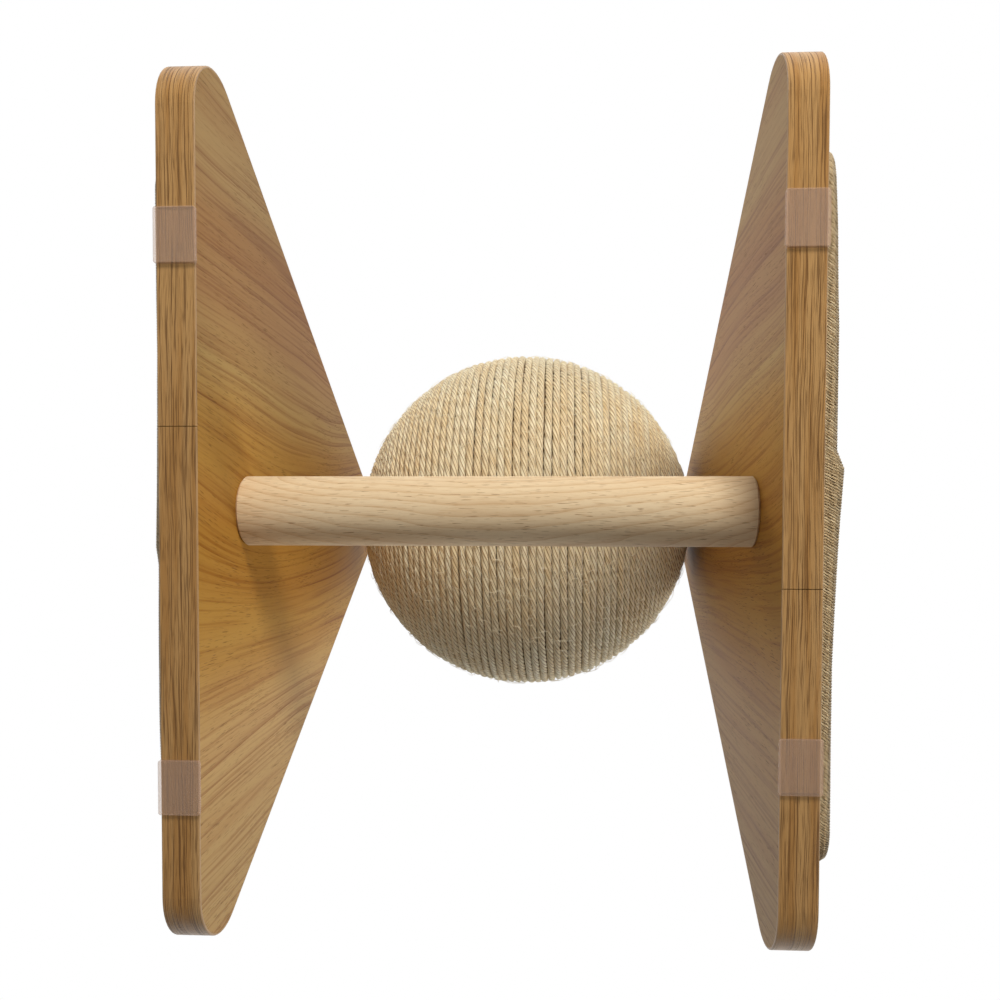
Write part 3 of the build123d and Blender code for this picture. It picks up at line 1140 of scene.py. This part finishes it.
    def loose_fibres(self, path: Points) -> None:
        """Scatters short curved hairs that stand off the rope, fewer in front.

        Args:
            path: the rope's middle line.
        """
        chance = np.random.default_rng(77)
        runs = []
        for _ in range(self.fibres):
            at = int(chance.integers(10, len(path) - 10))
            if path[at][1] < 0 and chance.uniform() < 0.5:
                continue
            out = Vector(path[at] - self.centre).normalized()
            lay = Vector(path[at + 1] - path[at]).normalized()
            side = out.cross(lay)
            heading = (lay * chance.uniform(-1, 1) + side * chance.uniform(-0.8, 0.8)).normalized()
            place = Vector(path[at]) + out * self.diameter * self.fibre_root
            length = chance.uniform(*self.fibre_length)
            lift = chance.uniform(*self.fibre_lift)
            curl = chance.uniform(-self.fibre_curl, self.fibre_curl)
            points = []
            for share in np.arange(self.fibre_points) / (self.fibre_points - 1):
                turned = Matrix.Rotation(curl * share, 3, out) @ heading
                points.append(place + turned * length * share + out * length * lift * share * (1.35 - share))
            runs.append(Run(np.array(points), size=np.linspace(1.0, self.fibre_taper, self.fibre_points)))
        piece = swept("rope_fibres", runs, circle(3, self.fibre_radius))
        straw = PlainFinish("loose_fibre", srgb(255, 248, 226), srgb(240, 224, 190), 0.7)
        dress(piece, straw.material())
        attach(piece, "ball")


@dataclass(frozen=True)
class Lamp:
    """A soft square lamp, aimed at the object's middle."""

    name: str
    place: tuple[float, float, float]
    size: float
    watts: float
    tint: Colour
    aim: tuple[float, float, float] = (0, 0, 0.15)

    def light(self) -> None:
        """Hangs the lamp, which neither the camera nor glossy surfaces see."""
        bpy.ops.object.select_all(action="DESELECT")
        bpy.ops.object.light_add(type="AREA", location=self.place)
        lamp = bpy.context.object
        lamp.name = self.name
        towards = Vector(self.aim) - Vector(self.place)
        lamp.rotation_euler = towards.to_track_quat("-Z", "Y").to_euler()
        lamp.data.size = self.size
        lamp.data.energy = self.watts
        lamp.data.color = self.tint
        lamp.visible_camera = False
        lamp.visible_glossy = False


@dataclass
class Studio:
    """The floor, the white surroundings, the lamps and the camera."""

    camera_place: tuple[float, float, float] = (0.0311, 0.0126, -0.3296)
    yaw: float = 0.0493
    pitch: float = -0.0316
    roll: float = -0.0035
    focal: float = 32.19
    shift: tuple[float, float] = (-0.0249, 0.069)
    surround: float = 0.25
    floor_radius: float = 4.0
    floor_colour: Colour = srgb(238, 238, 236)
    white_from: float = 0.3
    white_at: float = 1.1
    lamps: tuple[Lamp, ...] = (
        Lamp("key_lamp", (0.27, -0.88, -0.64), 0.36, 12.5, srgb(255, 251, 245)),
        Lamp("top_lamp", (-0.6, -0.9, 1.5), 0.8, 16.0, srgb(255, 252, 248)),
        Lamp("back_lamp", (0.9, 0.9, 1.1), 0.9, 15.0, srgb(250, 252, 255)),
    )

    def build(self) -> None:
        """Sets up everything around the object."""
        self.world()
        self.floor()
        self.camera()
        for lamp in self.lamps:
            lamp.light()
            LOG.info("hung the %s", lamp.name)

    def world(self) -> None:
        """Soft light all round, seen as plain white."""
        g = Graph("white_room", "worlds")
        bpy.context.scene.world = g.owner
        rays = g.node("ShaderNodeLightPath").outputs
        shiny = g.math("MAXIMUM", rays["Is Glossy Ray"], rays["Is Transmission Ray"])
        seen = g.math("MAXIMUM", rays["Is Camera Ray"], shiny)
        strength = g.scaled(seen, 1.0 - self.surround, self.surround)
        light = g.node("ShaderNodeBackground", (1, 1, 1), strength)
        g.node("ShaderNodeOutputWorld", light.outputs[0])

    def floor(self) -> None:
        """A pale floor that is clear from below, where the photograph looks from."""
        bpy.ops.object.select_all(action="DESELECT")
        bpy.ops.mesh.primitive_circle_add(vertices=96, radius=self.floor_radius, fill_type="NGON")
        floor = bpy.context.object
        floor.name = "studio_floor"
        g = Graph("pale_floor")
        rays = g.node("ShaderNodeLightPath")
        below = g.node("ShaderNodeNewGeometry").outputs["Backfacing"]
        for ray in ("Is Shadow Ray", "Is Diffuse Ray"):
            below = g.math("MAXIMUM", below, rays.outputs[ray])
        pale = g.node("ShaderNodeBsdfDiffuse", self.floor_colour)
        clear = g.node("ShaderNodeBsdfTransparent")
        white = g.node("ShaderNodeEmission")
        x, y, _ = g.place()
        reach = g.math("SQRT", g.math("ADD", g.squared(x), g.squared(y)))
        seen = g.math("MAXIMUM", rays.outputs["Is Camera Ray"], rays.outputs["Is Glossy Ray"])
        far = g.math("MULTIPLY", seen, g.step(reach, self.white_from, self.white_at))
        above = g.node("ShaderNodeMixShader", far, pale.outputs[0], white.outputs[0])
        both = g.node("ShaderNodeMixShader", below, above.outputs[0], clear.outputs[0])
        g.node("ShaderNodeOutputMaterial", both.outputs[0])
        dress(floor, g.owner)

    def camera(self) -> None:
        """The photograph's camera, below the object and looking up at it."""
        bpy.ops.object.select_all(action="DESELECT")
        bpy.ops.object.camera_add(location=self.camera_place)
        camera = bpy.context.object
        camera.name = "photo_camera"
        camera.rotation_mode = "ZXY"
        camera.rotation_euler = (math.pi + self.pitch, -self.yaw, -self.roll)
        camera.data.sensor_width = 36.0
        camera.data.lens = self.focal
        camera.data.shift_x, camera.data.shift_y = self.shift
        camera.data.clip_start = 0.01
        bpy.context.scene.camera = camera


def main() -> None:
    """Builds the object and its studio."""
    logging.basicConfig(level=logging.INFO)
    bpy.context.scene.view_settings.view_transform = "Standard"
    Studio().build()
    boards = Boards()
    boards.build()
    Mats(boards).build()
    RopeBall().build()


if __name__ == "__main__":
    main()
